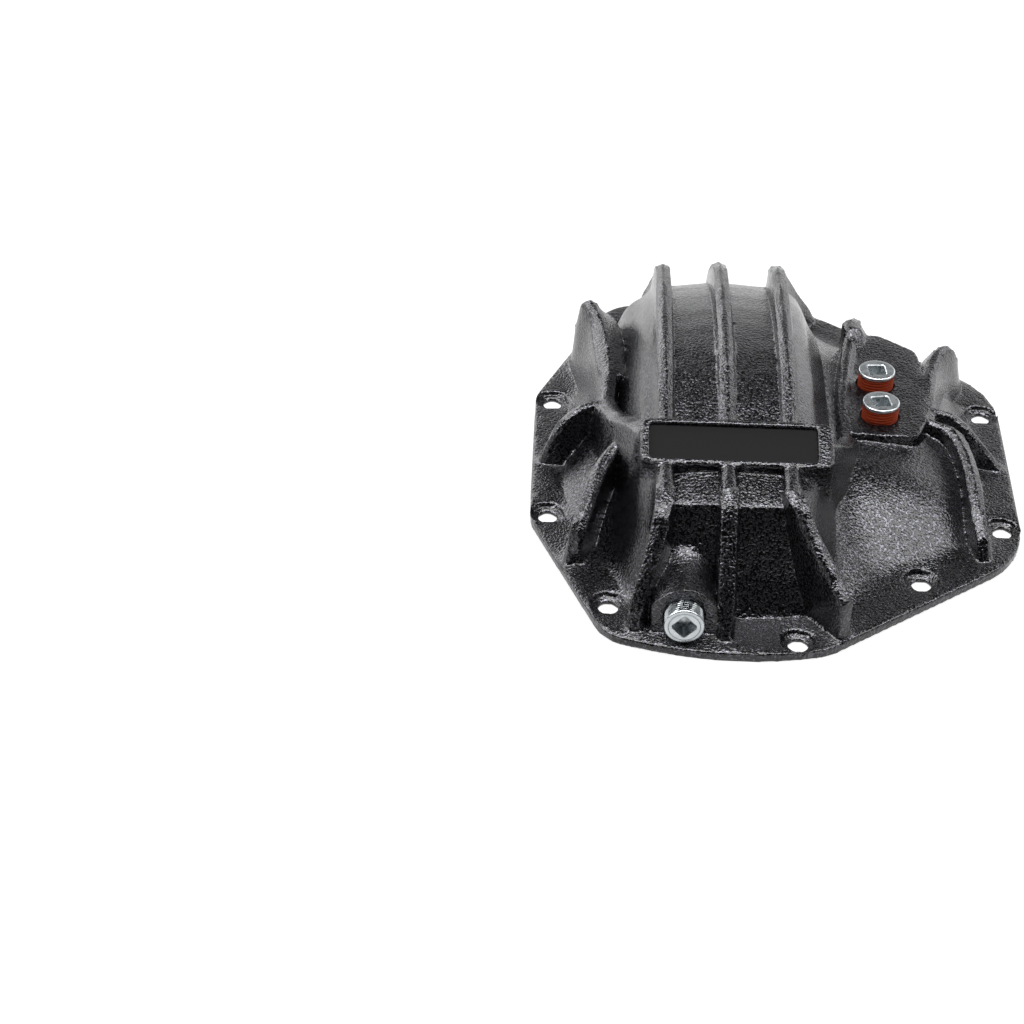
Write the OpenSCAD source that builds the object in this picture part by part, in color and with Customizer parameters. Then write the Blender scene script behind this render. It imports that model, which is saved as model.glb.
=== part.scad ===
// Ribbed cast cover for the back of a drive axle, with its three pipe plugs and its name plate.
// The mating face lies on z = 0, the ribs run along y, and z points out of the axle.
// The origin is under the middle of the flange.

/* [Flange] */
// Width of the flange, across the ribs
flange_w = 341.3; // [337:0.1:347]
// Length of the flange, along the ribs
flange_l = 447.7; // [443:0.1:453]
// Thickness of the flange
flange_t = 7; // [6.5:0.5:9]
// Half height of the straight left side, up to its corner
left_flat = 78; // [74:0.5:82]
// Half height of the straight right side, up to its corner
right_flat = 104; // [100:0.5:108]

/* [Bolt holes] */
// Diameter of the bolt holes
bolt_d = 12.6; // [10:0.1:13.5]
// Diameter of the spot face round each bolt hole
spot_d = 23.8; // [20:0.1:26]
// Metal left under the spot face
spot_web = 3; // [2.5:0.1:4.5]
// Distance of the side holes from the side of the flange
side_hole_in = 12.8; // [12.5:0.1:15]
// Half the spacing of the two holes on each side
side_hole_y = 72; // [68:0.5:76]
// Distance of the end holes from the end of the flange
end_hole_in = 16.8; // [15:0.1:19]
// Sideways offset of the end holes from the middle
end_hole_x = 9.5; // [5:0.5:14]
// Distance of the left corner holes from the left side
left_hole_in = 55.6; // [53:0.1:58]
// Distance of the left corner holes from the end of the flange
left_hole_end = 50.4; // [48:0.1:53]
// Distance of the right corner holes from the right side
right_hole_in = 74.4; // [72:0.1:77]
// Distance of the right corner holes from the end of the flange
right_hole_end = 87.8; // [85:0.1:91]

/* [Body] */
// Width of the flange rim beside the body, on the long sides
side_rim = 23; // [22:0.5:26]
// Width of the flange rim at the slanted corners
corner_rim = 29; // [27:0.5:32]
// Width of the flange rim at the two ends
end_rim = 36; // [34:0.5:39]
// Wall thickness of the casting
wall = 8; // [6:0.5:9]
// Left edge of the drum, which clears the ring gear
drum_left = -90; // [-92:0.5:-87]
// Right edge of the drum
drum_right = 16; // [13:0.5:18]
// Height of the drum above the mating face
drum_h = 102; // [99:0.5:104]
// Height of the drum at its two end creases
crease_h = 65; // [62:0.5:69]
// Distance of the end creases from the middle of the drum
crease_y = 152; // [148:0.5:155]
// Sideways run of the drum's side walls
drum_run = 20; // [18:0.5:22]
// Height of the left shoulder beside the drum
left_shoulder_h = 33; // [30:0.5:37]
// Height of the right shoulder beside the drum
right_shoulder_h = 43; // [40:0.5:45]

/* [Ribs] */
// Sideways place of the middle long rib
rib_x = -38.5; // [-41:0.5:-36]
// Spacing of the three long ribs over the drum
rib_pitch = 42; // [41:0.5:43]
// Height of the long ribs above the mating face
rib_h = 109; // [107:0.5:114]
// Width of the rib crests
rib_w = 9; // [7:0.5:11]
// Draft of the rib sides, as a share of their height
rib_draft = 0.04; // [0.02:0.005:0.06]
// How far the feet of the ribs stay inside the edge of the flange
foot_in = 6; // [4:0.5:9]

/* [Plate seat] */
// Width of the name plate
plate_w = 112; // [100:0.5:116]
// Length of the name plate, along the ribs
plate_l = 30.5; // [26:0.5:34]
// Thickness of the name plate
plate_t = 1.6; // [1:0.1:2.4]
// Tilt of the plate seat towards the drain end
plate_tilt = 15; // [13:0.5:17]
// Distance of the plate seat from the middle of the cover
plate_y = 101; // [99:0.5:103]
// Sideways place of the plate's centre
plate_x = -35; // [-38:0.5:-33]
// Height of the plate's face above the mating face
plate_h = 88; // [87:0.1:89.5]
// Width of the raised rim round the plate
plate_rim = 5; // [4:0.5:7]
// Depth of the plate's face below the rim
plate_sunk = 3; // [1.5:0.1:4]

/* [Plugs] */
// Outside diameter of the pipe plugs at the face
plug_d = 26.4; // [24:0.1:27.5]
// Length of each plug
plug_l = 21; // [17:0.5:24]
// How far each plug stands out of its boss
plug_out = 11.2; // [8:0.1:13]
// Width of the square socket in each plug
socket_w = 12.2; // [10:0.1:13.5]
// Depth of the square socket
socket_depth = 12; // [8:0.5:14]
// Sideways place of the two fill plugs
fill_x = 74.5; // [72:0.5:77]
// Place of the lower fill plug along the cover
fill_y = 4; // [1:0.5:7]
// Spacing of the two fill plugs
fill_pitch = 41.5; // [39:0.5:44]
// Height of the flat pad that carries the fill plugs
pad_h = 48; // [46:0.5:50]
// Sideways place of the drain plug
drain_x = -66; // [-68:0.5:-64]
// Height of the drain plug's axis above the mating face
drain_z = 21; // [20.6:0.1:24]
// Diameter of the drain boss
drain_boss_d = 43; // [40:0.5:45]
// How far the drain boss stays inside the end of the flange
drain_boss_in = 19; // [17:0.5:22]

/* [Hidden] */

EPS = 0.01;
// Running gap round each plug, and round the plate in its recess
GAP = 0.15;
HW = flange_w / 2;
HL = flange_l / 2;
// Depth to which ribs and bosses reach into the flange
ROOT_Z = 4;
// Height at which the body's skin starts, just inside the flange
SKIN_Z = flange_t - 1;
drum_mid = (drum_left + drum_right) / 2;
// Front and back edges of the plate seat, and its rim's height at both
seat_half = plate_l / 2 + plate_rim;
seat_front = -plate_y - seat_half * cos(plate_tilt) + plate_sunk * sin(plate_tilt);
seat_back = -plate_y + seat_half * cos(plate_tilt) + plate_sunk * sin(plate_tilt);
seat_front_z = plate_h - seat_half * sin(plate_tilt) + plate_sunk * cos(plate_tilt);
seat_back_z = plate_h + seat_half * sin(plate_tilt) + plate_sunk * cos(plate_tilt);

// Corners of the flange, upper half, from the left side round to the right side
flange_half = [
    [-HW, left_flat],
    [-HW + 52.6, HL - 16],
    [-30, HL + 6.79],
    [30, HL - 8.8],
    [HW, right_flat]
];
flange_half_r = [30, 34, 205, 35, 72];

function flange_outline() =
    let (corners = mirrored(flange_half), radii = concat(flange_half_r, backwards(flange_half_r)))
    rounded(corners, fitted(corners, radii));

// Bolt holes, upper half
hole_half = [
    [-HW + side_hole_in, side_hole_y],
    [-HW + left_hole_in, HL - left_hole_end],
    [end_hole_x, HL - end_hole_in],
    [HW - right_hole_in, HL - right_hole_end],
    [HW - side_hole_in, side_hole_y]
];
holes = concat(hole_half, [for (p = hole_half) [p[0], -p[1]]]);

function unit(v) = v / norm(v);
function left_of(v) = [-v[1], v[0]];
function flip(pts) = [for (i = [len(pts) - 1:-1:0]) [pts[i][0], -pts[i][1]]];
function backwards(v) = [for (i = [len(v) - 1:-1:0]) v[i]];

// A closed outline that is the same above and below the x axis, clockwise from the left
function mirrored(half) = concat(half, flip(half));

// Points of the arc that rounds the corner b between a and c
function corner_arc(a, b, c, r, n) =
    let (
        u = unit(a - b),
        v = unit(c - b),
        half_angle = acos(u * v) / 2,
        middle = b + unit(u + v) * r / sin(half_angle),
        start = b + u * r / tan(half_angle) - middle,
        stop = b + v * r / tan(half_angle) - middle,
        a0 = atan2(start[1], start[0]),
        turn = ((atan2(stop[1], stop[0]) - a0 + 540) % 360) - 180
    )
    [for (i = [0:n]) middle + r * [cos(a0 + turn * i / n), sin(a0 + turn * i / n)]];

function rounded(pts, radii, n = 8) =
    let (m = len(pts))
    [for (i = [0:m - 1]) each corner_arc(pts[(i + m - 1) % m], pts[i], pts[(i + 1) % m], radii[i], n)];

// Length of each edge that the rounding of its first corner takes, for the radius r
function tangent(a, b, c, r) = r / tan(acos(unit(a - b) * unit(c - b)) / 2);

// Corner radii, each no larger than the two edges beside it leave room for
function fitted(pts, radii) =
    let (
        m = len(pts),
        t = [for (i = [0:m - 1]) tangent(pts[(i + m - 1) % m], pts[i], pts[(i + 1) % m], radii[i])],
        room = [for (i = [0:m - 1]) norm(pts[(i + 1) % m] - pts[i]) / (t[i] + t[(i + 1) % m])]
    )
    [for (i = [0:m - 1]) radii[i] * min(1, room[i], room[(i + m - 1) % m])];

// Point where the edges before and after corner b meet once each has moved inwards
function moved_corner(a, b, c, da, dc) =
    let (
        u = unit(b - a),
        v = unit(c - b),
        p = b - left_of(u) * da,
        q = b - left_of(v) * dc,
        t = ((q[0] - p[0]) * v[1] - (q[1] - p[1]) * v[0]) / (u[0] * v[1] - u[1] * v[0])
    )
    p + u * t;

// The upper half of the flange's corners, moved inwards by the rim widths and by more
function inner_half(more) =
    let (
        p = concat([[-HW, 0]], flange_half, [[HW, 0]]),
        d = [side_rim, corner_rim, end_rim, end_rim, corner_rim, side_rim]
    )
    [for (i = [1:5]) moved_corner(p[i - 1], p[i], p[i + 1], d[i - 1] + more, d[i] + more)];

// Half length of the body at x, with its corners rounded
function half_length(x, more) =
    let (
        corners = inner_half(more),
        ring = rounded(mirrored(corners), concat([26, 30, 190, 40, 60], [60, 40, 190, 30, 26])),
        upper = [for (p = ring) if (p[1] > 0) p]
    )
    lookup(x, upper);

// Stations of the skin along x: place, height and how much of the drum's profile it has
function stations(more) =
    let (
        base = HW - side_rim,
        wl = drum_left - drum_run,
        wr = drum_right + drum_run,
        // The left shoulder's stations keep their shares of the room between the rim and the drum
        left_run = (wl + base) / 37.65,
        raw = [
            [-base, SKIN_Z + 0.3, 0],
            [-base + 5 * left_run, 15, 0],
            [-base + 17 * left_run, 26, 0],
            [wl - 7 * left_run, left_shoulder_h - 2, 0],
            [wl, left_shoulder_h + 2, 0.1],
            [wl + drum_run * 0.45, 62, 0.5],
            [wl + drum_run * 0.8, 88, 0.85],
            [drum_left + 4, drum_h - 5, 1],
            [drum_mid - 22, drum_h - 1, 1],
            [drum_mid, drum_h, 1],
            [drum_mid + 22, drum_h - 1, 1],
            [drum_right - 4, drum_h - 3, 1],
            [wr - drum_run * 0.8, 91, 0.9],
            [wr - drum_run * 0.45, 68, 0.5],
            [wr, right_shoulder_h + 5, 0.1],
            [wr + 14, right_shoulder_h + 1, 0],
            [(wr + base) / 2, right_shoulder_h - 1, 0],
            [base - 40, right_shoulder_h - 6, 0],
            [base - 20, 30, 0],
            [base - 6, 17, 0],
            [base, SKIN_Z + 0.3, 0]
        ]
    )
    [for (s = raw) [
        s[0] - sign(s[0] - drum_mid) * min(more, abs(s[0] - drum_mid)),
        max(s[1] - more, SKIN_Z - more + 0.3),
        s[2]
    ]];

// Share of the height that is left at the share s of the half length
function drum_share(s) =
    let (
        sc = crease_y / (HL - end_rim),
        gc = (crease_h - SKIN_Z) / (drum_h - SKIN_Z)
    )
    s < sc ? 1 - (1 - gc) * pow(s / sc, 2) : gc * (1 - s) / (1 - sc);
// The shoulders slope away gently at the front and stay full at the back
function shoulder_share(s) = 1 - pow(abs(s), s < 0 ? 2 : 3.2);
function share(s, mix) = mix * drum_share(abs(s)) + (1 - mix) * shoulder_share(s);

SKIN_STEPS = [-1, -0.93, -0.86, -0.805, -0.775, -0.68, -0.52, -0.34, -0.16,
    0, 0.16, 0.34, 0.52, 0.68, 0.775, 0.805, 0.86, 0.93, 1];

// One closed section of the skin across y, from its low edge over the top and back
function skin_section(s, more, low) =
    let (
        yb = half_length(s[0], more),
        edge = SKIN_Z - more
    )
    concat(
        [[s[0], -yb, low]],
        [for (t = SKIN_STEPS) [s[0], t * yb, edge + (s[1] - edge) * share(t, s[2])]],
        [[s[0], yb, low]]
    );

// Solid through a row of closed sections with the same number of points each
module loft(sections) {
    m = len(sections[0]);
    n = len(sections);
    points = [for (s = sections) each s];
    sides = [for (i = [0:n - 2], j = [0:m - 1]) each [
        [i * m + j, (i + 1) * m + j, (i + 1) * m + (j + 1) % m],
        [i * m + j, (i + 1) * m + (j + 1) % m, i * m + (j + 1) % m]
    ]];
    polyhedron(points, concat(sides, [backwards([for (j = [0:m - 1]) j])],
        [[for (j = [0:m - 1]) (n - 1) * m + j]]), convexity = 8);
}

module skin(more, low) {
    loft([for (s = stations(more)) skin_section(s, more, low)]);
}

// Smooth line through hand-set points, a few steps between each two
function spline(p, steps) =
    let (n = len(p))
    [for (i = [0:n - 2], k = [0:steps - 1])
        let (
            a = p[max(i - 1, 0)],
            b = p[i],
            c = p[i + 1],
            d = p[min(i + 2, n - 1)],
            t = k / steps
        )
        0.5 * (2 * b + (c - a) * t + (2 * a - 5 * b + 4 * c - d) * t * t
            + (3 * b - 3 * c + d - a) * t * t * t),
        p[n - 1]
    ];

RIB_ARC = [180, 135, 90, 45, 0];

// Section of a rib at p, across the plan direction dir: a round crest on two drafted sides
function rib_section(p, dir, w, draft_l, draft_r) =
    let (
        side = left_of(dir),
        r = w / 2,
        h = p[2] - ROOT_Z,
        at = function (off, z) [p[0] + side[0] * off, p[1] + side[1] * off, z]
    )
    concat(
        [at(r + draft_l * h, ROOT_Z)],
        [for (a = RIB_ARC) at(-r * cos(a), max(p[2] - r + r * sin(a), ROOT_Z + 1))],
        [at(-r - draft_r * h, ROOT_Z)]
    );

// Rib along a line of [x, y, crest height] points; the drafts are left and right of its run.
// A point may carry its own left draft as a fourth number.
module rib(line, w = rib_w, draft_l = rib_draft, draft_r = rib_draft) {
    n = len(line);
    loft([for (i = [0:n - 1])
        let (
            ahead = line[min(i + 1, n - 1)] - line[max(i - 1, 0)],
            dir = unit([ahead[0], ahead[1]])
        )
        rib_section(line[i], dir, w, len(line[i]) > 3 ? line[i][3] : draft_l, draft_r)
    ]);
}

// Arch that the crests of the long ribs follow
function crest_arch(y) = flange_t + (rib_h - flange_t) * (1 - pow(y / (HL - 11), 4));

// Crest height of the long ribs, which dip to meet the rim of the plate seat
function crest(y) =
    y < seat_front + SEAT_IN ? min(crest_arch(y), seat_front_z - 0.5) :
    y < seat_back ? seat_back_z - 2 :
    y < 0 ? seat_back_z + (crest_arch(y) - seat_back_z) * cos(90 * y / seat_back) :
    crest_arch(y);

// How far the stations of a long rib lie inside the plate seat
SEAT_IN = 3;
CROWN_Y = [0, 40, 80, 116];

// Long rib over the drum. The keys give its two ends from the foot inwards, each as a sideways
// offset, a distance from the foot line and a crest height.
module long_rib(x, front, back) {
    edge = HL - foot_in;
    // The keys were set for this room before the plate seat, and for this run of the crown
    front_run = (edge + seat_front) / 98.06645916;
    crown_run = (edge - 76) / 141.85;
    rib(concat(
        [for (k = front) [x + k[0], -edge + k[1] * front_run, k[2]]],
        [for (y = [seat_front - 26 * front_run, seat_front + SEAT_IN - 0.5, seat_back - SEAT_IN, seat_back + 24,
            seat_back + 50]) [x, y, crest(y)]],
        [for (s = CROWN_Y) [x, s * crown_run, crest(s * crown_run)]],
        [for (k = backwards(back)) [x + k[0], edge - k[1], k[2]]]
    ));
}

left_front = [[-20, 14, 9], [-17, 19, 24], [-14, 25, 35], [-10, 32, 48], [-7, 38, 59], [-3, 48, 73],
    [-1, 58, 80]];
left_back = [[-12, 16, 9], [-9, 21, 24], [-6, 27, 35], [-3, 37, 47], [-1, 45, 58], [1, 52, 66],
    [1, 60, 75], [0.5, 76, 86]];
mid_front = [[0, 4.5, 7.5], [0, 8, 12.5], [0, 18, 29], [0, 28, 43], [0, 43, 62], [0, 58, 76]];
mid_back = concat(mid_front, [[0, 76, 89]]);
fin_front = [[37, 15, 6], [36, 16, 36], [33, 19, 40], [28, 28, 48], [20, 39, 58], [11, 51, 69],
    [3, 64, 80]];
fin_back = [[37, 18, 9], [31, 25, 22], [21, 37, 40], [13, 49, 57], [5, 64, 76], [1, 76, 88]];

// Ribs that lead from the shoulders to the rim between the bolt holes
module side_ribs() {
    left = -HW;
    right = HW;
    // Left shoulder to the rim, upper rib with a broad outer side that narrows to its end
    rib(spline([[left + 51, 2, 51, 0.26], [left + 53, 48, 55, 0.26], [left + 49, 92, 58, 0.26],
        [left + 38, 129, 60, 0.2], [left + 33, 138, 40, 0.03], [left + 32, 141, 12, 0.03]], 3),
        draft_r = 0.08);
    // Left shoulder to the rim, middle rib
    rib(spline([[left + 50, 5, 51], [left + 35, 1, 50], [left + 21, -8, 42], [left + 11, -9, 24],
        [left + 6, -7, 9]], 2));
    // Left shoulder to the rim, lower rib
    rib(spline([[left + 70, -36, 55], [left + 61, -54, 58], [left + 51, -70, 54], [left + 44, -90, 50],
        [left + 39, -110, 44], [left + 34, -126, 36], [left + 31, -131, 22], [left + 31, -132, 9]], 3),
        draft_l = 0.05, draft_r = 0.16);
    // Saddle from the left shoulder up to the plate seat
    rib(spline([[left + 50, 8, 51], [left + 60, -28, 62], [left + 72, -62, 80], [left + 80, -86, 88]], 2),
        w = 18, draft_l = 0.1, draft_r = 0.1);
    // Right shoulder to the rim, upper rib
    rib(spline([[right - 62, 4, 47], [right - 58, 50, 49], [right - 50, 84, 50], [right - 39, 104, 46],
        [right - 31, 114, 28], [right - 27, 118, 9]], 3), draft_l = 0.1, draft_r = 0.26);
    // Right shoulder to the rim, middle rib
    rib(spline([[right - 66, 18, 47], [right - 52, 16, 46], [right - 41, 13, 43], [right - 31, 7, 36],
        [right - 19, 4, 23], [right - 6, -1, 9]], 2));
    // Right shoulder to the rim, lower rib that frames the hollow slope
    rib(spline([[right - 66, 4, 46], [right - 50, -3, 46], [right - 42, -13, 45], [right - 38, -30, 43],
        [right - 35, -53, 40], [right - 34, -83, 33], [right - 31, -106, 21], [right - 30, -113, 8.8]], 2),
        draft_l = 0.16, draft_r = 0.04);
    // Ridge along the plug pad, over the right shoulder to the far rim
    rib(spline([[48, -26, 49], [49, 20, 52], [55, 70, 54], [62, 116, 51], [67, HL - 73.85, 40],
        [70, HL - 57.85, 22], [72, HL - 49.85, 9]], 3), w = 8);
    // Saddle from the plate seat down to the corner of the plug pad
    rib(spline([[24, -92, 86], [34, -76, 78], [43, -52, 61], [51, -24, 48]], 2), w = 14,
        draft_l = 0.1, draft_r = 0.1);
}

// Flat pad under the two fill plugs
module plug_pad() {
    top = fill_y + fill_pitch;
    pad = [[fill_x - 24.5, fill_y - 26], [fill_x + 23.5, fill_y - 28], [fill_x + 33.5, fill_y],
        [fill_x + 35.5, top + 10.5], [fill_x + 31.5, top + 46.5], [fill_x + 5.5, top + 67.5],
        [fill_x - 12.5, top + 62.5], [fill_x - 21.5, top - 5.5]];
    translate([0, 0, ROOT_Z])
        linear_extrude(pad_h - ROOT_Z) polygon(rounded(backwards(pad), [8, 8, 10, 12, 12, 12, 8, 6], 3));
}

module round_rect(w, l, r) {
    polygon(rounded([[-w / 2, -l / 2], [-w / 2, l / 2], [w / 2, l / 2], [w / 2, -l / 2]],
        [r, r, r, r], 5));
}

// Frame of the plate: its face's centre is the origin and z is the face's normal
module on_plate_seat() {
    translate([plate_x, -plate_y, plate_h]) rotate([plate_tilt, 0, 0]) children();
}

SEAT_DEPTH = 22;
SEAT_EXTRA_R = 5;

// Raised seat round the name plate
module plate_seat() {
    on_plate_seat()
        translate([SEAT_EXTRA_R / 2, 0, -SEAT_DEPTH])
            linear_extrude(SEAT_DEPTH + plate_sunk)
                round_rect(plate_w + 2 * plate_rim + SEAT_EXTRA_R, plate_l + 2 * plate_rim, 7);
}

module plate_recess() {
    on_plate_seat()
        translate([0, 0, -plate_t - GAP])
            linear_extrude(SEAT_DEPTH) round_rect(plate_w + 2 * GAP, plate_l + 2 * GAP, 2 + GAP);
}

// Frame of the drain plug: the boss face's centre is the origin and z points out of the boss
module on_drain_boss() {
    translate([drain_x, -HL + drain_boss_in, drain_z]) rotate([90, 0, 0]) children();
}

module drain_boss() {
    reach = 46;
    on_drain_boss() translate([0, 0, -reach]) {
        difference() {
            cylinder(d = drain_boss_d, h = reach, $fn = 64);
            translate([-drain_boss_d, -drain_z + ROOT_Z - drain_boss_d, -1])
                cube([2 * drain_boss_d, drain_boss_d, reach + 2]);
        }
        translate([-drain_boss_d / 2, -drain_z + ROOT_Z, 0]) cube([drain_boss_d, drain_z - ROOT_Z, reach]);
    }
}

module bolt_holes() {
    for (p = holes) translate([p[0], p[1], 0]) {
        translate([0, 0, -1]) cylinder(d = bolt_d, h = flange_t + 2, $fn = 48);
        translate([0, 0, spot_web]) cylinder(d = spot_d, h = 60, $fn = 48);
    }
}

module fill_places() {
    for (i = [0, 1]) translate([fill_x, fill_y + i * fill_pitch, pad_h]) children();
}

// Hole for a plug, from just outside its boss's face down to the given depth
module plug_bore(depth) {
    translate([0, 0, -depth]) cylinder(d = plug_d + 2 * GAP, h = depth + 1, $fn = 64);
}

module cover_casting() {
    color("#3b3b3d") difference() {
        union() {
            linear_extrude(flange_t) polygon(flange_outline());
            skin(0, ROOT_Z);
            long_rib(rib_x - rib_pitch, left_front, left_back);
            long_rib(rib_x, mid_front, mid_back);
            long_rib(rib_x + rib_pitch, fin_front, fin_back);
            side_ribs();
            plug_pad();
            plate_seat();
            drain_boss();
        }
        skin(wall, -1);
        bolt_holes();
        plate_recess();
        fill_places() plug_bore(30);
        on_drain_boss() plug_bore(50);
    }
}

module name_plate() {
    color("#141416") on_plate_seat()
        translate([0, 0, -plate_t]) linear_extrude(plate_t) round_rect(plate_w, plate_l, 2);
}

PLUG_CHAMFER = 1.2;

// Pipe plug with a square socket; its boss's face is z = 0
module pipe_plug(turn) {
    socket_flat = socket_w;
    translate([0, 0, plug_out - plug_l]) difference() {
        union() {
            cylinder(d1 = plug_d - 2 * PLUG_CHAMFER, d2 = plug_d, h = PLUG_CHAMFER, $fn = 64);
            translate([0, 0, PLUG_CHAMFER])
                cylinder(d = plug_d, h = plug_l - 2 * PLUG_CHAMFER, $fn = 64);
            translate([0, 0, plug_l - PLUG_CHAMFER])
                cylinder(d1 = plug_d, d2 = plug_d - 2 * PLUG_CHAMFER, h = PLUG_CHAMFER, $fn = 64);
        }
        translate([0, 0, plug_l - socket_depth]) rotate(turn)
            linear_extrude(socket_depth + 1) square(socket_flat, center = true);
    }
}

module fill_plug_lower() {
    color("#a9adaf") translate([fill_x, fill_y, pad_h]) pipe_plug(10);
}

module fill_plug_upper() {
    color("#a9adaf") translate([fill_x, fill_y + fill_pitch, pad_h]) pipe_plug(4);
}

module drain_plug() {
    color("#b4b7b8") on_drain_boss() pipe_plug(45);
}

cover_casting();
name_plate();
fill_plug_upper();
fill_plug_lower();
drain_plug();
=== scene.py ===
"""Dresses a ribbed axle cover: coated casting, three pipe plugs, bare plate and white studio."""
import math

import bmesh
import bpy
import numpy as np
from bpy.props import FloatProperty, FloatVectorProperty, IntProperty, PointerProperty
from mathutils import Matrix, Quaternion, Vector


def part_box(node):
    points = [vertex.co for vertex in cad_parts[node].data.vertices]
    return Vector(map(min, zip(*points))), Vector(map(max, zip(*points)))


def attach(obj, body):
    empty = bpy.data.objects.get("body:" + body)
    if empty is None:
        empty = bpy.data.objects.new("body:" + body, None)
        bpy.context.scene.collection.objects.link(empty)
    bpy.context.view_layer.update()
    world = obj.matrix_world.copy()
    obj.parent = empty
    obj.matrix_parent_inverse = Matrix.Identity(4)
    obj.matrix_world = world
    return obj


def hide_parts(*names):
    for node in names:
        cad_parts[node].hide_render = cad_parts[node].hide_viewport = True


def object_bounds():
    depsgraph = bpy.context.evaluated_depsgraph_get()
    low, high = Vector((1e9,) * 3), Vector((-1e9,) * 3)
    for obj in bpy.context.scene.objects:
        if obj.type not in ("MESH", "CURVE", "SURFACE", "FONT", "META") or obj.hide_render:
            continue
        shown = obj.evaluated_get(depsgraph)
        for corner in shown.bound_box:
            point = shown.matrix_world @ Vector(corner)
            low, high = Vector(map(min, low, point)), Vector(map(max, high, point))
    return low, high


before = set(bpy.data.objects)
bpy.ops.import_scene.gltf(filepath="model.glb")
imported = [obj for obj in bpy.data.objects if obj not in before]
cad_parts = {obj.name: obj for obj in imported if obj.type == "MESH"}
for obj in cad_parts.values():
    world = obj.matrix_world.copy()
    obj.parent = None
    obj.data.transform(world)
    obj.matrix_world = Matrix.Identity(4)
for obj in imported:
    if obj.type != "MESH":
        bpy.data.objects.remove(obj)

bl_info = {
    "name": "Axle cover finish",
    "version": (1, 0, 0),
    "blender": (4, 5, 0),
    "location": "View3D > Sidebar > Axle cover",
    "description": "Coated casting, plated plugs, black plate and studio for a ribbed axle cover",
    "category": "Object",
}

CAD_BOX = [list(corner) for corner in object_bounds()]
MM = 0.001


def linear(code):
    """Linear colour of an sRGB hex code."""
    parts = [int(code[i:i + 2], 16) / 255 for i in (1, 3, 5)]
    return tuple(c / 12.92 if c <= 0.04045 else ((c + 0.055) / 1.055) ** 2.4 for c in parts)


def colour(name, description, code):
    """A colour property that starts at an sRGB hex code."""
    return FloatVectorProperty(name=name, description=description, subtype="COLOR", size=3,
                               min=0, max=1, default=linear(code))


def size(name, description, mm):
    """A length property that starts at a number of millimetres."""
    return FloatProperty(name=name, description=description, default=mm * MM, min=0,
                         unit="LENGTH", subtype="DISTANCE", precision=5)


class CoverSizes(bpy.types.PropertyGroup):
    """Sizes that a user may change before the pieces are made."""
    skin_grid: size("Skin grid", "Grid on which the casting's skin is rebuilt", 1.2)
    rib_gain: size("Rib gain", "How much each side of a rib stands out beyond the CAD", 1.9)
    fillet_steps: IntProperty(name="Fillet steps", default=14, min=0,
                              description="How far the inside corners of the casting are filled")
    edge_steps: IntProperty(name="Edge steps", default=7, min=0,
                            description="How far the outside corners of the casting are worn round")
    fair_steps: IntProperty(name="Fairing steps", default=120, min=0,
                            description="How far shallow creases in the casting are faired out")
    # The real thread has a pitch of 1.81 mm; it is drawn coarser, so that it shows
    thread_pitch: size("Thread pitch", "Distance between the crests of the pipe thread", 2.2)
    thread_depth: size("Thread depth", "Depth of the pipe thread", 1.3)
    plug_out: size("Plug reach", "How far each plug stands out of its boss", 11.2)
    plug_land: size("Plug land", "Plain band between the plug's face and its thread", 2.4)
    socket: size("Socket width", "Width of the square socket in each plug", 12.2)
    socket_depth: size("Socket depth", "Depth of the square socket", 12)
    hammer_grain: size("Hammer grain", "Width of the grains in the casting's coat", 1.75)
    sand_wave: size("Sand waviness", "Width of the waves that the sand mould leaves", 16)


class CoverColours(bpy.types.PropertyGroup):
    """Colours of the finishes."""
    coat_low: colour("Coat between grains", "Black of the coat between its grains", "#09090A")
    coat_high: colour("Coat on grains", "Grey of the silver dust on the coat's grains", "#5A5A60")
    steel: colour("Zinc plate", "Colour of the plugs' zinc plating", "#C3C8CB")
    sealant: colour("Thread sealant", "Colour of the dry sealant on the fill plugs", "#C44A22")
    plate: colour("Plate", "Colour of the satin black plate", "#171718")
    floor: colour("Floor", "Colour of the studio floor", "#CBCBCB")


def add_node(tree, kind, settings=(), inputs=()):
    """Adds a node, sets its settings, and sets or links its inputs by name or number."""
    node = tree.nodes.new(kind)
    for key, value in dict(settings).items():
        setattr(node, key, value)
    for key, value in dict(inputs).items():
        if isinstance(value, bpy.types.NodeSocket):
            tree.links.new(value, node.inputs[key])
        else:
            node.inputs[key].default_value = value
    return node


def new_material(name):
    """An empty node material and its tree."""
    material = bpy.data.materials.new(name)
    material.use_nodes = True
    material.node_tree.nodes.clear()
    return material, material.node_tree


def rgba(value):
    return (*value, 1.0)


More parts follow.
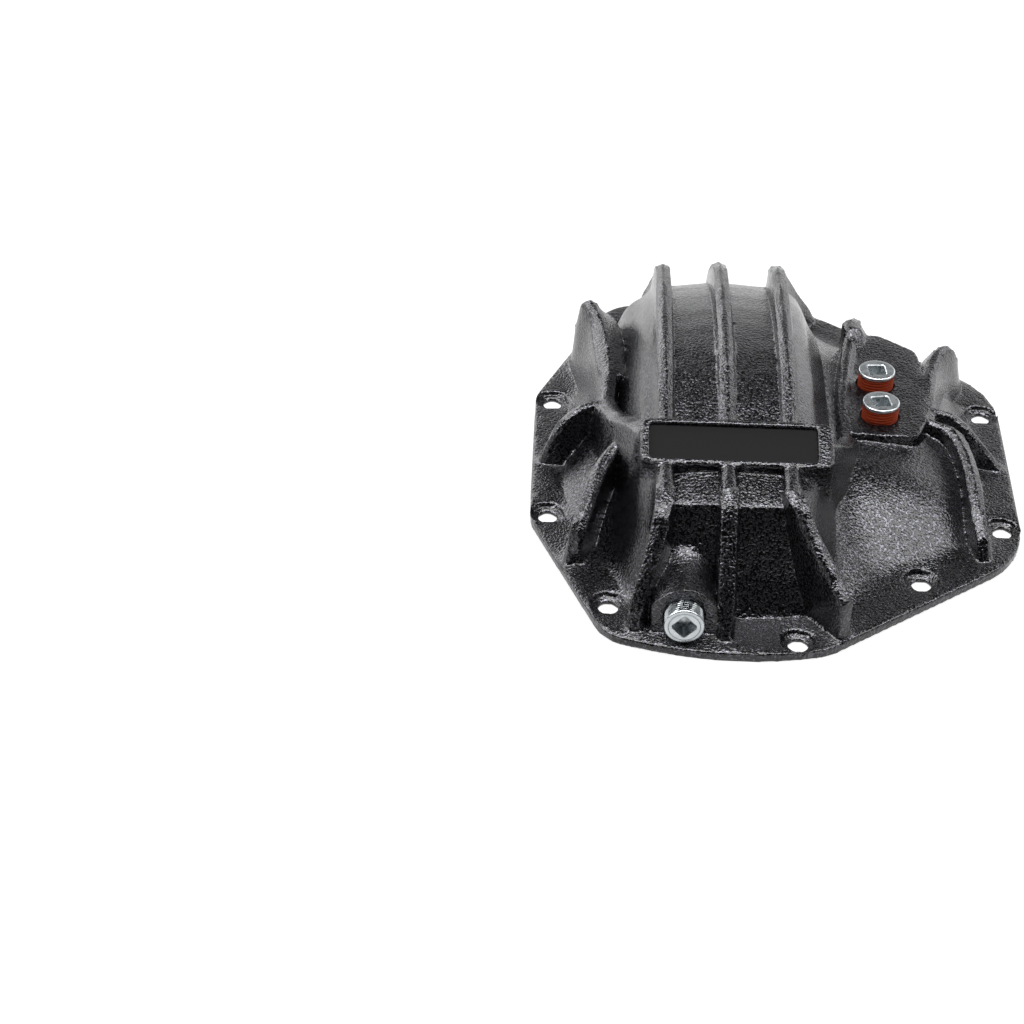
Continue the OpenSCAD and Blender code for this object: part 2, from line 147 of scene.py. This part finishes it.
def hammered_coat(scene):
    """Black powder coat with a silver hammer grain, sprayed on sand-cast iron.

    The eye sees black gloss broken into small grains. Each grain tilts the gloss a little and
    holds some silver dust, so flat places sparkle grey, and places that face the dark stay black.
    """
    sizes, colours = scene.cover_sizes, scene.cover_colours
    material, tree = new_material("hammered_powder_coat")
    place = add_node(tree, "ShaderNodeTexCoord").outputs["Object"]
    grain = add_node(tree, "ShaderNodeTexNoise", {}, {
        "Vector": place, "Scale": 1 / sizes.hammer_grain, "Detail": 1.0, "Roughness": 0.5,
        "Distortion": 0.3})
    wave = add_node(tree, "ShaderNodeTexNoise", {}, {
        "Vector": place, "Scale": 1 / sizes.sand_wave, "Detail": 1.0, "Roughness": 0.4})
    dust = add_node(tree, "ShaderNodeMapRange", {"interpolation_type": "SMOOTHSTEP"}, {
        "Value": grain.outputs["Fac"], "From Min": 0.46, "From Max": 0.66})
    tint = add_node(tree, "ShaderNodeMix", {"data_type": "RGBA"}, {
        0: dust.outputs["Result"], 6: rgba(colours.coat_low), 7: rgba(colours.coat_high)})
    shine = add_node(tree, "ShaderNodeMapRange", {}, {
        "Value": dust.outputs["Result"], "To Min": 0.16, "To Max": 0.26})
    flake = add_node(tree, "ShaderNodeMath", {"operation": "MULTIPLY"}, {
        0: dust.outputs["Result"], 1: 1.0})
    waves = add_node(tree, "ShaderNodeBump", {}, {
        "Height": wave.outputs["Fac"], "Strength": 0.5, "Distance": 0.0012})
    grains = add_node(tree, "ShaderNodeBump", {}, {
        "Height": grain.outputs["Fac"], "Strength": 0.5, "Distance": 0.0012,
        "Normal": waves.outputs["Normal"]})
    coat = add_node(tree, "ShaderNodeBsdfPrincipled", {}, {
        "Base Color": tint.outputs[2], "Metallic": flake.outputs["Value"],
        "Roughness": shine.outputs["Result"], "IOR": 1.5, "Normal": grains.outputs["Normal"]})
    add_node(tree, "ShaderNodeOutputMaterial", {}, {"Surface": coat.outputs["BSDF"]})
    return material


def zinc_steel(scene):
    """Turned steel with bright zinc plating.

    The eye sees pale metal with a faint blue cast, fine tool marks and a few dull spots.
    """
    material, tree = new_material("zinc_plated_turned_steel")
    place = add_node(tree, "ShaderNodeTexCoord").outputs["Object"]
    marks = add_node(tree, "ShaderNodeTexNoise", {}, {
        "Vector": place, "Scale": 1 / (0.8 * MM), "Detail": 3.0, "Roughness": 0.6})
    blotch = add_node(tree, "ShaderNodeTexNoise", {}, {
        "Vector": place, "Scale": 1 / (5 * MM), "Detail": 2.0, "Roughness": 0.5})
    dull = add_node(tree, "ShaderNodeMapRange", {}, {
        "Value": blotch.outputs["Fac"], "From Min": 0.35, "From Max": 0.7,
        "To Min": 0.22, "To Max": 0.38})
    steel = rgba(scene.cover_colours.steel)
    tint = add_node(tree, "ShaderNodeMix", {"data_type": "RGBA"}, {
        0: blotch.outputs["Fac"], 6: steel, 7: tuple(c * 0.8 for c in steel[:3]) + (1.0,)})
    relief = add_node(tree, "ShaderNodeBump", {}, {
        "Height": marks.outputs["Fac"], "Strength": 0.25, "Distance": 0.0001})
    metal = add_node(tree, "ShaderNodeBsdfPrincipled", {}, {
        "Base Color": tint.outputs[2], "Metallic": 1.0, "Roughness": dull.outputs["Result"],
        "Normal": relief.outputs["Normal"]})
    add_node(tree, "ShaderNodeOutputMaterial", {}, {"Surface": metal.outputs["BSDF"]})
    return material


def dry_sealant(scene):
    """Dry thread sealant, brushed on in one orange coat.

    The eye sees a matt orange skin, darker where it lies thin, with small lumps.
    """
    material, tree = new_material("brushed_dry_thread_sealant")
    place = add_node(tree, "ShaderNodeTexCoord").outputs["Object"]
    lumps = add_node(tree, "ShaderNodeTexNoise", {}, {
        "Vector": place, "Scale": 1 / (1.6 * MM), "Detail": 3.0, "Roughness": 0.6})
    thin = rgba([c * 0.45 for c in scene.cover_colours.sealant])
    tint = add_node(tree, "ShaderNodeMix", {"data_type": "RGBA"}, {
        0: lumps.outputs["Fac"], 6: thin, 7: rgba(scene.cover_colours.sealant)})
    relief = add_node(tree, "ShaderNodeBump", {}, {
        "Height": lumps.outputs["Fac"], "Strength": 0.5, "Distance": 0.0003})
    skin = add_node(tree, "ShaderNodeBsdfPrincipled", {}, {
        "Base Color": tint.outputs[2], "Roughness": 0.6, "IOR": 1.48,
        "Specular IOR Level": 0.2, "Normal": relief.outputs["Normal"]})
    add_node(tree, "ShaderNodeOutputMaterial", {}, {"Surface": skin.outputs["BSDF"]})
    return material


def satin_plate(scene):
    """Black polyester plate with a satin printed face.

    The eye sees an even soft black with hardly any sparkle.
    """
    material, tree = new_material("satin_black_polyester_plate")
    place = add_node(tree, "ShaderNodeTexCoord").outputs["Object"]
    tooth = add_node(tree, "ShaderNodeTexNoise", {}, {
        "Vector": place, "Scale": 1 / (0.9 * MM), "Detail": 2.0, "Roughness": 0.5})
    base = scene.cover_colours.plate
    tint = add_node(tree, "ShaderNodeMix", {"data_type": "RGBA"}, {
        0: tooth.outputs["Fac"],
        6: rgba([c * 0.9 for c in base]), 7: rgba([c * 1.1 for c in base])})
    relief = add_node(tree, "ShaderNodeBump", {}, {
        "Height": tooth.outputs["Fac"], "Strength": 0.15, "Distance": 0.0001})
    face = add_node(tree, "ShaderNodeBsdfPrincipled", {}, {
        "Base Color": tint.outputs[2], "Roughness": 0.6, "IOR": 1.45,
        "Specular IOR Level": 0.12, "Normal": relief.outputs["Normal"]})
    add_node(tree, "ShaderNodeOutputMaterial", {}, {"Surface": face.outputs["BSDF"]})
    return material


def studio_paper(scene):
    """White seamless studio paper, rolled out flat.

    The eye sees plain white with a soft grey shadow. A part of the white is its own, as if
    lit from behind, for what looks at it, and the rest comes from the lamps, so shadows stay.
    """
    material, tree = new_material("white_studio_paper")
    path = add_node(tree, "ShaderNodeLightPath").outputs
    seen = add_node(tree, "ShaderNodeMath", {"operation": "MAXIMUM"}, {
        0: path["Is Camera Ray"], 1: path["Is Glossy Ray"]})
    seen = add_node(tree, "ShaderNodeMath", {"operation": "MAXIMUM"}, {
        0: seen.outputs["Value"], 1: path["Is Transmission Ray"]})
    glow = add_node(tree, "ShaderNodeMath", {"operation": "MULTIPLY"}, {
        0: seen.outputs["Value"], 1: 0.75})
    paper = add_node(tree, "ShaderNodeBsdfPrincipled", {}, {
        "Base Color": rgba(scene.cover_colours.floor), "Roughness": 0.9,
        "Specular IOR Level": 0.0, "Emission Color": (1.0, 1.0, 1.0, 1.0),
        "Emission Strength": glow.outputs["Value"]})
    add_node(tree, "ShaderNodeOutputMaterial", {}, {"Surface": paper.outputs["BSDF"]})
    return material


def evaluated_mesh(obj, name):
    """The mesh of an object with its modifiers applied."""
    graph = bpy.context.evaluated_depsgraph_get()
    mesh = bpy.data.meshes.new_from_object(obj.evaluated_get(graph), depsgraph=graph)
    mesh.name = name
    return mesh


def link(name, mesh):
    obj = bpy.data.objects.new(name, mesh)
    bpy.context.scene.collection.objects.link(obj)
    return obj


# Share of the way to the mean of its neighbours that a point goes in one smoothing step
STRIDE = 0.6
# Fairing steps after which it is settled anew which neighbours lie across a crease
CREASE_STEPS = 8


def ramp(value, start, stop):
    """0 up to start, 1 from stop on, and a smooth rise between them."""
    t = np.clip((value - start) / (stop - start), 0, 1)
    return t * t * (3 - 2 * t)


class Skin:
    """Points, edges and faces of a mesh as arrays, for smoothing."""

    def __init__(self, mesh):
        n = len(mesh.vertices)
        self.points = np.empty(n * 3)
        mesh.vertices.foreach_get("co", self.points)
        self.points = self.points.reshape(-1, 3)
        self.lift = ramp(self.points[:, 2], 0.8 * MM, 2.4 * MM)
        edges = np.empty(len(mesh.edges) * 2, np.int64)
        mesh.edges.foreach_get("vertices", edges)
        edges = edges.reshape(-1, 2)
        self.a = np.concatenate([edges[:, 0], edges[:, 1]])
        self.b = np.concatenate([edges[:, 1], edges[:, 0]])
        mesh.calc_loop_triangles()
        tris = np.empty(len(mesh.loop_triangles) * 3, np.int64)
        mesh.loop_triangles.foreach_get("vertices", tris)
        self.tris = tris.reshape(-1, 3)

    def normals(self):
        p = self.points[self.tris]
        face = np.cross(p[:, 1] - p[:, 0], p[:, 2] - p[:, 0])
        out = np.zeros_like(self.points)
        for axis in range(3):
            for corner in range(3):
                out[:, axis] += np.bincount(self.tris[:, corner], face[:, axis], len(out))
        return out / np.maximum(np.linalg.norm(out, axis=1), 1e-30)[:, None]

    def pull(self, weight=None):
        """Vector from each point to the mean of its neighbours."""
        n = len(self.points)
        w = np.ones(len(self.a)) if weight is None else weight
        total = np.bincount(self.a, w, n)
        out = np.empty_like(self.points)
        for axis in range(3):
            out[:, axis] = np.bincount(self.a, w * self.points[self.b, axis], n)
        out /= np.maximum(total, 1e-9)[:, None]
        return np.where(total[:, None] > 0, out - self.points, 0)

    def move(self, normals, rise):
        """Moves each point along its normal, and leaves the mating face flat."""
        step = normals * rise[:, None]
        step[:, 2] *= self.lift
        self.points += step

    def soften(self, steps, filling, wearing):
        """Fills inside corners by one weight and wears outside corners by another."""
        for _ in range(steps):
            normals = self.normals()
            rise = np.einsum("ij,ij->i", self.pull(), normals)
            self.move(normals, rise * STRIDE * np.where(rise > 0, filling, wearing))

    def fair(self, steps, free, angle):
        """Evens out shallow creases and leaves those that bend more than angle."""
        limit = math.cos(angle)
        for step in range(steps):
            if step % CREASE_STEPS == 0:
                normals = self.normals()
                same = (np.einsum("ij,ij->i", normals[self.a], normals[self.b]) > limit) * 1.0
            rise = np.einsum("ij,ij->i", self.pull(same), normals)
            self.move(normals, rise * free * STRIDE)


# Bolt holes of the back half, in mm; the front half mirrors them
HOLES = [(-157.85, 72.0), (-115.05, 173.45), (9.5, 207.05), (96.25, 136.05), (157.85, 72.0)]
# Radius of the seats round the bolt holes, with a little room, in mm
SEAT_R = 11.9 + 0.4
# Weight by which the corners of those seats are filled
SEAT_FILLING = 0.12
# Height that only the body of the casting rises above, not its flange, in mm
FLANGE_TOP = 7.5
# Height from which the ribs have their full gain of thickness, in mm
FULL_GAIN_Z = 34
# Distances from a plug at which the gain starts and is full, in mm
PLUG_ROOM = (2, 8)
# Tilt of the name plate
PLATE_TILT = math.radians(15)
# Half sizes of the room round the plate's recess: across, along and up, in mm
RECESS = (57.5, 17, 6)
# Weights by which outside corners are worn, first briefly and then while corners fill
WEAR_FIRST, WEAR_LATER = 0.8, 0.02
# Bend between two points of the skin that still counts as a shallow crease
SHALLOW = math.radians(6)
# Triangles left in the casting's skin
SKIN_TRIANGLES = 190000


def fair_forms(points):
    """Small changes of height that give two slopes of the skin their cast shape."""
    x, y, z = (points / MM).T
    # Hollow slope below the fill plugs: fuller at its top and hollower towards the rim
    across = ramp(x, 46, 62) * (1 - ramp(x, 112, 128))
    along = np.clip((y + 165) / 130, 0, 1)
    hollow = -4.2 * np.sin(2 * np.pi * along) * across * ramp(z, 7.5, 12)
    # Flat step of the drum in front of the plate, which ends in a firm edge
    across = ramp(x, -96, -84) * (1 - ramp(x, 12, 24))
    along = np.clip((-y - 119) / 30, 0, 1) * (1 - np.clip((-y - 150) / 24, 0, 1))
    step = 7.0 * across * along * (1 - ramp(z, 73, 83)) * ramp(z, 20, 40)
    points[:, 2] += (hollow + step) * MM


# Rounded swells of the skin, each the hull of balls given by centre and radius, in mm
SWELLS = {
    "left of the drum, where its skirt runs out": (
        (-101, 70, 22, 14), (-100, 110, 28, 16), (-98, 146, 20, 15), (-92, 140, 43, 13),
        (-90, 95, 55, 13)),
    "inner flank of the upper left rib": (
        (-121, 45, 49, 4), (-121, 92, 53, 4), (-129, 124, 53, 4), (-111, 42, 48, 4),
        (-110, 70, 43, 4), (-110, 98, 44, 4), (-118, 122, 46, 4), (-110, 42, 20, 4),
        (-110, 98, 12, 4), (-117, 126, 12, 4), (-124, 60, 12, 4), (-132, 124, 14, 4)),
    "inner flank of the upper right rib": (
        (121, 92, 42, 4), (124, 102, 38, 4), (115, 96, 30, 4), (112, 94, 18, 4), (134, 101, 31, 4),
        (138, 98, 16, 4), (116, 74, 38, 4), (121, 80, 44, 4), (112, 98, 8, 4), (136, 104, 8, 4),
        (113, 62, 30, 4)),
    "end of the ridge along the plug pad": (
        (60, 106, 55, 4), (60, 117, 53, 4), (64, 106, 54, 4), (64, 117, 52, 4), (60, 92, 46, 4),
        (65, 92, 46, 4), (60, 126, 30, 4), (70, 114, 42, 4), (83, 126, 14, 4), (66, 96, 34, 4)),
}


def swell(shell, balls):
    """Joins the hull of some balls to the shell, cut off inside the flange."""
    meridians, parallels, floor = 12, 6, 4
    points = []
    for x, y, z, r in balls:
        for i in range(meridians):
            for j in range(1, parallels):
                a, b = math.tau * i / meridians, math.pi * j / parallels
                points.append((x + r * math.sin(b) * math.cos(a),
                               y + r * math.sin(b) * math.sin(a),
                               max(z + r * math.cos(b), floor)))
    verts = [shell.verts.new(Vector(p) * MM) for p in points]
    made = bmesh.ops.convex_hull(shell, input=verts)
    bmesh.ops.delete(shell, geom=made["geom_interior"], context="VERTS")


def casting_mesh(sizes):
    """The casting's skin, rebuilt on a fine grid with cast corners."""
    source = bpy.data.meshes.new("raw")
    shell = bmesh.new()
    shell.from_mesh(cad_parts["cover_casting"].data)
    bmesh.ops.remove_doubles(shell, verts=shell.verts, dist=1e-6)
    for balls in SWELLS.values():
        swell(shell, balls)
    shell.to_mesh(source)
    shell.free()
    rough = link("rough_casting", source)
    grid = rough.modifiers.new("grid", "REMESH")
    grid.mode = "VOXEL"
    grid.voxel_size = sizes.skin_grid
    grid.use_smooth_shade = True
    mesh = evaluated_mesh(rough, "coated_casting")
    bpy.data.objects.remove(rough)
    bpy.data.meshes.remove(source)

    skin = Skin(mesh)
    fair_forms(skin.points)
    x, y, z = skin.points.T
    # The recess of the plate and the seats of the bolts keep their crisp inside corners
    filling = np.ones(len(z))
    low, high = (Vector(corner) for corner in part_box("name_plate"))
    centre = (low + high) / 2
    along = (y - centre.y) * math.cos(PLATE_TILT) + (z - centre.z) * math.sin(PLATE_TILT)
    up = -(y - centre.y) * math.sin(PLATE_TILT) + (z - centre.z) * math.cos(PLATE_TILT)
    in_recess = ((abs(x - centre.x) < RECESS[0] * MM) & (abs(along) < RECESS[1] * MM)
                 & (abs(up) < RECESS[2] * MM))
    filling[in_recess] = 0
    # The ribs gain thickness above the flange, but not in the recess or round the plugs
    thick = ramp(z, FLANGE_TOP * MM, FULL_GAIN_Z * MM) * ~in_recess
    for node in ("fill_plug_upper", "fill_plug_lower", "drain_plug"):
        low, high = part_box(node)
        nearest = np.linalg.norm(skin.points - np.clip(skin.points, low, high), axis=1)
        thick *= ramp(nearest, PLUG_ROOM[0] * MM, PLUG_ROOM[1] * MM)
    nx = skin.normals()[:, 0]
    skin.points[:, 0] += sizes.rib_gain * nx * abs(nx) * thick
    for hx, hy in HOLES:
        for side in (1, -1):
            away = np.hypot(x - hx * MM, y - side * hy * MM)
            filling[(away < SEAT_R * MM) & (z < FLANGE_TOP * MM)] = SEAT_FILLING
    skin.soften(sizes.edge_steps, filling, WEAR_FIRST)
    skin.soften(sizes.fillet_steps, filling, WEAR_LATER)
    skin.fair(sizes.fair_steps, np.where(in_recess, 0, 1), SHALLOW)

    low, high = (np.array(c) for c in CAD_BOX)
    skin.points = np.clip(skin.points, low, high)
    mesh.vertices.foreach_set("co", skin.points.ravel())
    mesh.update()
    smooth = link("smooth_casting", mesh)
    lean = smooth.modifiers.new("lean", "DECIMATE")
    lean.ratio = min(1.0, SKIN_TRIANGLES / len(skin.tris))
    result = evaluated_mesh(smooth, "coated_casting")
    bpy.data.objects.remove(smooth)
    bpy.data.meshes.remove(mesh)
    result.shade_smooth()
    return result


# Points round a plug, and rows of points on each turn of its thread
TURN_POINTS = 72
THREAD_ROWS = 8
# Angles at which the rounded edge of a plug's face has its rows, in degrees
EDGE_ANGLES = (0, 18, 36, 54, 72, 90)
# Bend from which the edges of a plug are drawn sharp
SHARP = math.radians(38)


def square_radius(angle, half):
    """Distance to the side of a square with slightly round corners."""
    p = 12
    return half / (abs(math.cos(angle)) ** p + abs(math.sin(angle)) ** p) ** (1 / p)


def plug_mesh(name, sizes, radius, length, turn, sealed):
    """A threaded plug on the z axis, whose boss's face is z = 0.

    It is a stack of rings, each with a height, a radius and a kind. Rings of the kind thread
    follow the thread, and those of the kind square follow the socket, turned by some degrees.
    """
    top = sizes.plug_out
    bevel = 1.2 * MM
    root = radius - 0.9 * MM
    thread_low = -2.5 * MM
    thread_high = top - (sizes.plug_land if sealed else 0.5 * sizes.plug_land)
    rows = [(top - length, 0.0, "plain"), (top - length, radius - bevel, "plain"),
            (top - length + bevel, root, "plain"), (thread_low, root, "plain")]
    count = round((thread_high - thread_low) / sizes.thread_pitch * THREAD_ROWS)
    for i in range(1, count):
        rows.append((thread_low + (thread_high - thread_low) * i / count, radius, "thread"))
    rows.append((thread_high, radius - 0.35 * MM, "plain"))
    # The sealant covers the side of the plug up to the end of its thread
    sealed_bands = range(2, len(rows) - 1) if sealed else ()
    rows.append((thread_high + 0.4 * MM, radius - 0.05 * MM, "plain"))
    for degrees in EDGE_ANGLES:
        t = math.radians(degrees)
        rows.append((top - bevel * (1 - math.sin(t)), radius - bevel * (1 - math.cos(t)), "plain"))
    half = sizes.socket / 2
    face = radius - bevel
    rows.append((top, face - 0.35 * (face - half * 1.25), "face"))
    rows.append((top, half * 1.12, "square"))
    rows.append((top, half + 0.55 * MM, "square"))
    rows.append((top - 0.5 * MM, half, "square"))
    rows.append((top - sizes.socket_depth, half, "square"))
    rows.append((top - sizes.socket_depth - 0.6 * MM, half * 0.35, "face"))
    rows.append((top - sizes.socket_depth - 1.6 * MM, 0.0, "plain"))

    body = bmesh.new()
    rings = []
    for z, r, kind in rows:
        if r == 0:
            rings.append([body.verts.new((0, 0, z))])
            continue
        ring = []
        for i in range(TURN_POINTS):
            angle = 2 * math.pi * i / TURN_POINTS
            reach = r
            if kind == "square":
                reach = square_radius(angle, r)
            elif kind == "thread":
                phase = (z / sizes.thread_pitch - i / TURN_POINTS) % 1
                fall = 0.5 + 0.5 * math.cos(2 * math.pi * phase)
                fade = min(1, (thread_high - z) / (1.0 * MM))
                reach = r - 0.1 * MM - sizes.thread_depth * (0.15 + 0.85 * fall ** 0.8) * fade
            if kind in ("square", "face"):
                angle += math.radians(turn)
            ring.append(body.verts.new((reach * math.cos(angle), reach * math.sin(angle), z)))
        rings.append(ring)
    for band, (lower, upper) in enumerate(zip(rings, rings[1:])):
        for i in range(TURN_POINTS):
            j = (i + 1) % TURN_POINTS
            if len(lower) == 1:
                corners = [lower[0], upper[j], upper[i]]
            elif len(upper) == 1:
                corners = [lower[i], lower[j], upper[0]]
            else:
                corners = [lower[i], lower[j], upper[j], upper[i]]
            side = body.faces.new(corners)
            side.smooth = True
            side.material_index = int(band in sealed_bands)
    mesh = bpy.data.meshes.new(name)
    body.to_mesh(mesh)
    body.free()
    mesh.set_sharp_from_angle(angle=SHARP)
    return mesh


class COVER_OT_studio(bpy.types.Operator):
    """Makes the white studio: floor, lamps, world and camera"""
    bl_idname = "cover.studio"
    bl_label = "Studio"

    def execute(self, context):
        scene = context.scene
        scene.view_settings.view_transform = "Standard"
        paper = bpy.data.meshes.new("studio_floor")
        reach = 6
        paper.from_pydata([(-reach, -reach, 0), (reach, -reach, 0), (reach, reach, 0),
                           (-reach, reach, 0)], [], [(0, 1, 2, 3)])
        floor = link("studio_floor", paper)
        # A hair below the mating face, so that the two don't flicker
        floor.location.z = -0.0002
        paper.materials.append(studio_paper(scene))

        # A softbox overhead, and one behind the cover on each side: each with its place, the
        # point that it faces, its size in metres and its power in watts
        lamps = {
            "overhead": ((0.0, -0.15, 1.5), (0.0, 0.0, 0.0), (0.9, 1.1), 13.0),
            "left_side": ((-1.1, 1.6, 0.75), (0.0, 0.0, 0.03), (1.2, 1.1), 12.0),
            "right_side": ((1.3, 1.5, 0.75), (0.0, 0.0, 0.03), (1.1, 1.1), 6.0),
        }
        for name, (place, aim, spread, power) in lamps.items():
            data = bpy.data.lights.new(name, "AREA")
            data.shape = "RECTANGLE"
            data.size, data.size_y = spread
            data.energy = power
            lamp = bpy.data.objects.new(name, data)
            lamp.location = place
            way = Vector(aim) - Vector(place)
            lamp.rotation_euler = way.to_track_quat("-Z", "Y").to_euler()
            scene.collection.objects.link(lamp)

        # White all round for the camera, and a weak even light for the rest. Gloss shows a room
        # that is white low down behind the cover, and dark at the front and higher up.
        world = bpy.data.worlds.new("studio_room")
        world.use_nodes = True
        tree = world.node_tree
        tree.nodes.clear()
        path = add_node(tree, "ShaderNodeLightPath").outputs
        way = add_node(tree, "ShaderNodeTexCoord").outputs["Generated"]
        parts = add_node(tree, "ShaderNodeSeparateXYZ", {}, {0: way})
        behind = add_node(tree, "ShaderNodeMapRange", {"interpolation_type": "SMOOTHSTEP"}, {
            "Value": parts.outputs["Y"], "From Min": -0.25, "From Max": 0.35,
            "To Min": 0.03, "To Max": 1.0})
        low = add_node(tree, "ShaderNodeMapRange", {"interpolation_type": "SMOOTHSTEP"}, {
            "Value": parts.outputs["Z"], "From Min": 0.22, "From Max": 0.7,
            "To Min": 1.0, "To Max": 0.06})
        room = add_node(tree, "ShaderNodeMath", {"operation": "MULTIPLY"}, {
            0: behind.outputs["Result"], 1: low.outputs["Result"]})
        # Bright white cloths that only gloss shows: one under the ceiling, from a little in front
        # of the cover to a little behind it, and a weaker one on the left. Each edge is an axis,
        # where the cloth starts to show, and where it is full.
        cloths = (
            (6.2, (("Y", -0.32, -0.12), ("Y", 0.3, 0.14), ("Z", 0.35, 0.6))),
            (2.4, (("X", -0.25, -0.5), ("Y", -0.5, -0.25), ("Y", 0.75, 0.5), ("Z", 0.1, 0.35))),
        )
        for strength, edges in cloths:
            cloth = strength
            for axis, start, full in edges:
                edge = add_node(tree, "ShaderNodeMapRange", {"interpolation_type": "SMOOTHSTEP"}, {
                    "Value": parts.outputs[axis], "From Min": start, "From Max": full})
                cloth = add_node(tree, "ShaderNodeMath", {"operation": "MULTIPLY"}, {
                    0: cloth, 1: edge.outputs["Result"]}).outputs["Value"]
            room = add_node(tree, "ShaderNodeMath", {"operation": "ADD"}, {
                0: room.outputs["Value"], 1: cloth})
        shiny = add_node(tree, "ShaderNodeMath", {"operation": "MAXIMUM"}, {
            0: path["Is Glossy Ray"], 1: path["Is Transmission Ray"]})
        even = add_node(tree, "ShaderNodeMix", {"data_type": "FLOAT"}, {
            0: shiny.outputs["Value"], 2: 0.22, 3: room.outputs["Value"]})
        light = add_node(tree, "ShaderNodeMath", {"operation": "MAXIMUM"}, {
            0: even.outputs[0], 1: path["Is Camera Ray"]})
        back = add_node(tree, "ShaderNodeBackground", {}, {
            "Color": (1.0, 1.0, 1.0, 1.0), "Strength": light.outputs["Value"]})
        add_node(tree, "ShaderNodeOutputWorld", {}, {"Surface": back.outputs["Background"]})
        scene.world = world

        # The camera is worked out for a square frame of 1024 by 1024
        data = bpy.data.cameras.new("camera")
        data.lens = 95.406
        data.sensor_width = 36
        data.clip_start, data.clip_end = 0.05, 30
        camera = bpy.data.objects.new("camera", data)
        camera.location = (-0.148681, -1.613088, 1.097237)
        way = Vector((-0.183007, -0.059705, -0.003)) - camera.location
        roll = Quaternion((0, 0, 1), math.radians(1.309))
        camera.rotation_euler = (way.to_track_quat("-Z", "Y") @ roll).to_euler()
        scene.collection.objects.link(camera)
        scene.camera = camera
        return {"FINISHED"}


class COVER_OT_casting(bpy.types.Operator):
    """Makes the coated casting with its cast corners"""
    bl_idname = "cover.casting"
    bl_label = "Coated casting"

    def execute(self, context):
        casting = link("coated_casting", casting_mesh(context.scene.cover_sizes))
        casting.data.materials.clear()
        casting.data.materials.append(hammered_coat(context.scene))
        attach(casting, "root")
        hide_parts("cover_casting")
        return {"FINISHED"}


class COVER_OT_plugs(bpy.types.Operator):
    """Makes the three threaded pipe plugs"""
    bl_idname = "cover.plugs"
    bl_label = "Pipe plugs"

    def execute(self, context):
        scene = context.scene
        sizes = scene.cover_sizes
        steel, sealant = zinc_steel(scene), dry_sealant(scene)
        # Each plug's node, the turn of its socket in degrees, and whether it has sealant
        for node, turn, sealed in (("fill_plug_lower", 10, True), ("fill_plug_upper", 4, True),
                                   ("drain_plug", 45, False)):
            low, high = (Vector(c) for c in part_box(node))
            middle = (low + high) / 2
            radius = (high.x - low.x) / 2
            if sealed:
                length = high.z - low.z
                place = Matrix.Translation((middle.x, middle.y, high.z - sizes.plug_out))
            else:
                length = high.y - low.y
                place = (Matrix.Translation((middle.x, low.y + sizes.plug_out, middle.z))
                         @ Matrix.Rotation(math.pi / 2, 4, "X"))
            mesh = plug_mesh("threaded_" + node, sizes, radius, length, turn, sealed)
            mesh.transform(place)
            plug = link("threaded_" + node, mesh)
            mesh.materials.append(steel)
            mesh.materials.append(sealant)
            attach(plug, "root")
            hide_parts(node)
        return {"FINISHED"}


class COVER_OT_plate(bpy.types.Operator):
    """Gives the bare name plate its satin face"""
    bl_idname = "cover.plate"
    bl_label = "Name plate"

    def execute(self, context):
        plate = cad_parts["name_plate"]
        finish = satin_plate(context.scene)
        if not plate.material_slots:
            plate.data.materials.append(finish)
        for item in plate.material_slots:
            item.material = finish
        return {"FINISHED"}


class COVER_PT_panel(bpy.types.Panel):
    """Lists the steps that make the cover"""
    bl_idname = "COVER_PT_panel"
    bl_label = "Axle cover"
    bl_space_type = "VIEW_3D"
    bl_region_type = "UI"
    bl_category = "Axle cover"

    def draw(self, context):
        layout = self.layout
        for step in STEPS:
            layout.operator(step.bl_idname)
        for group in (context.scene.cover_sizes, context.scene.cover_colours):
            box = layout.box()
            for key in group.__annotations__:
                box.prop(group, key)


STEPS = (COVER_OT_studio, COVER_OT_casting, COVER_OT_plugs, COVER_OT_plate)
CLASSES = (CoverSizes, CoverColours, *STEPS, COVER_PT_panel)


def register():
    for cls in CLASSES:
        bpy.utils.register_class(cls)
    bpy.types.Scene.cover_sizes = PointerProperty(type=CoverSizes)
    bpy.types.Scene.cover_colours = PointerProperty(type=CoverColours)


def unregister():
    del bpy.types.Scene.cover_colours
    del bpy.types.Scene.cover_sizes
    for cls in reversed(CLASSES):
        bpy.utils.unregister_class(cls)


def main():
    register()
    bpy.ops.cover.studio()
    bpy.ops.cover.casting()
    bpy.ops.cover.plugs()
    bpy.ops.cover.plate()


if __name__ == "__main__":
    main()
